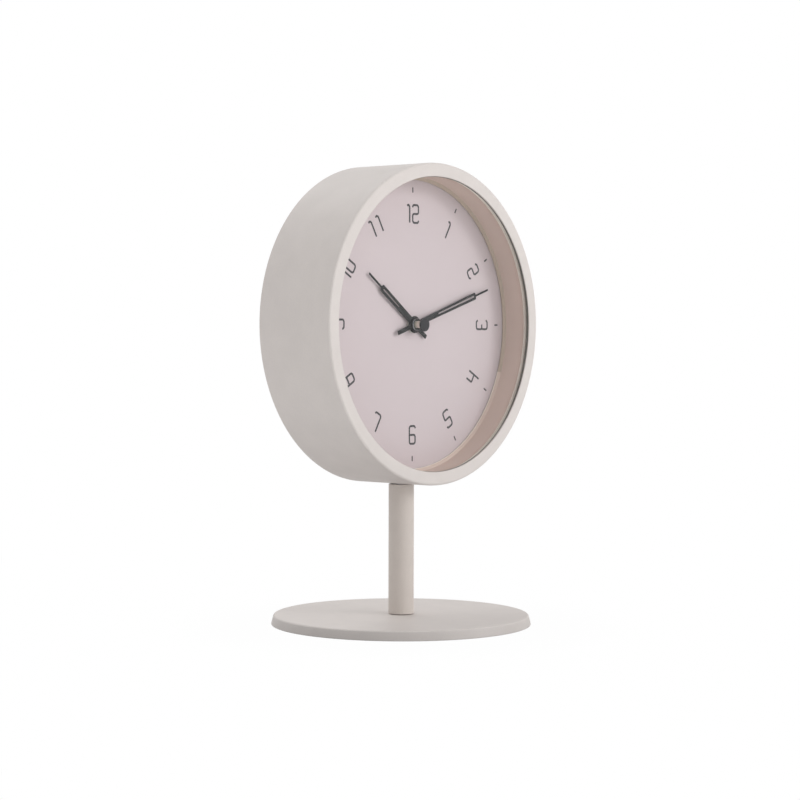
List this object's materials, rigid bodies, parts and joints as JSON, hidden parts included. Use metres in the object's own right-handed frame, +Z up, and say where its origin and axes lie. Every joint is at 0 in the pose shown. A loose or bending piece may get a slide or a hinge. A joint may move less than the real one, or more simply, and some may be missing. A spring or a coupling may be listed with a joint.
{
  "type": "table clock",
  "caption": "Round table clock: steel drum case with a deep recessed dial behind glass, on a short post and a disc base, with a battery movement inside.",
  "frame": {"origin": "middle of the clock's underside, on the surface it stands on", "axes": "+Z up, the dial faces -Y, +X is to the right of someone reading the dial"},
  "size_m": [0.16, 0.1312, 0.2315],
  "materials": {
    "case_coat": "matte warm grey powder coat",
    "spacer_coat": "matte warm grey powder coat",
    "dial_paint": "matte pinkish grey paint with dark grey print",
    "glass": "clear flat glass",
    "gasket": "matte black rubber",
    "foam": "closed cell foam",
    "zinc": "zinc plated",
    "brass": "satin",
    "black_metal": "glossy black nickel",
    "hand_paint": "satin dark grey paint",
    "housing_plastic": "fine textured black plastic",
    "gear_plastic": "natural acetal",
    "copper": "enamelled copper wire",
    "board": "green circuit board",
    "cell_can": "printed wrap with plain colours"
  },
  "bodies": {
    "clock_frame": {"base_plate": "case_coat", "base_pad": "foam", "base_screw": "zinc", "post_tube": "case_coat", "post_foot_insert": "zinc", "post_head_insert": "zinc", "head_screw": "zinc", "head_saddle": "zinc", "case_drum": "case_coat", "lens_gasket": "gasket", "lens": "glass", "spacer_ring": "spacer_coat", "dial_plate": "dial_paint", "dial_clamp_1": "zinc", "dial_clamp_2": "zinc", "dial_clamp_3": "zinc", "rear_cover": "case_coat", "cover_screw_1": "zinc", "cover_screw_2": "zinc", "cover_screw_3": "zinc", "movement_front_housing": "housing_plastic", "movement_rear_housing": "housing_plastic", "shaft_bush": "brass", "shaft_nut": "black_metal", "rubber_washer": "gasket", "train_bridge": "brass", "stator": "zinc", "coil_bobbin": "gear_plastic", "coil_winding": "copper", "circuit_board": "board", "quartz_crystal": "zinc", "driver_chip": "housing_plastic", "contact_positive": "zinc", "contact_negative": "zinc", "battery_cell": "cell_can"},
    "minute_hand_set": {"minute_hand": "hand_paint", "minute_hand_nut": "black_metal", "cannon_pinion": "gear_plastic"},
    "hour_hand_set": {"hour_hand": "hand_paint", "hour_wheel": "gear_plastic"},
    "setting_set": {"minute_wheel": "gear_plastic", "setting_knob": "housing_plastic"},
    "seconds_set": {"seconds_wheel": "gear_plastic", "seconds_tube": "gear_plastic", "seconds_cap": "hand_paint"},
    "third_set": {"third_wheel": "gear_plastic"},
    "centre_set": {"centre_wheel": "gear_plastic"},
    "step_set": {"step_wheel": "gear_plastic"},
    "rotor_set": {"rotor": "gear_plastic"}
  },
  "joints": [
    {"name": "minute_hand_turn", "type": "hinge", "parent": "clock_frame", "child": "minute_hand_set", "pos_m": [0, 0, 0.1515], "axis": [0, 1, 0], "continuous": true},
    {"name": "hour_hand_turn", "type": "hinge", "parent": "clock_frame", "child": "hour_hand_set", "pos_m": [0, 0, 0.1515], "axis": [0, 1, 0], "continuous": true},
    {"name": "setting_knob_turn", "type": "hinge", "parent": "clock_frame", "child": "setting_set", "pos_m": [-0.00636, 0, 0.15786], "axis": [0, 1, 0], "continuous": true},
    {"name": "seconds_turn", "type": "hinge", "parent": "clock_frame", "child": "seconds_set", "pos_m": [0, 0, 0.1515], "axis": [0, 1, 0], "continuous": true},
    {"name": "third_wheel_turn", "type": "hinge", "parent": "clock_frame", "child": "third_set", "pos_m": [0.00788, 0, 0.15011], "axis": [0, 1, 0], "continuous": true},
    {"name": "centre_wheel_turn", "type": "hinge", "parent": "clock_frame", "child": "centre_set", "pos_m": [0, 0, 0.1515], "axis": [0, 1, 0], "continuous": true},
    {"name": "step_wheel_turn", "type": "hinge", "parent": "clock_frame", "child": "step_set", "pos_m": [0.0041, 0, 0.1586], "axis": [0, 1, 0], "continuous": true},
    {"name": "rotor_turn", "type": "hinge", "parent": "clock_frame", "child": "rotor_set", "pos_m": [0.00925, 0, 0.16292], "axis": [0, 1, 0], "continuous": true}
  ],
  "couplings": [
    {"joint": "hour_hand_turn", "follows": "minute_hand_turn", "ratio": 0.083333},
    {"joint": "setting_knob_turn", "follows": "minute_hand_turn", "ratio": -0.33333},
    {"joint": "third_wheel_turn", "follows": "seconds_turn", "ratio": -0.13333},
    {"joint": "centre_wheel_turn", "follows": "seconds_turn", "ratio": 0.016667},
    {"joint": "step_wheel_turn", "follows": "seconds_turn", "ratio": -5},
    {"joint": "rotor_turn", "follows": "seconds_turn", "ratio": 30}
  ]
}
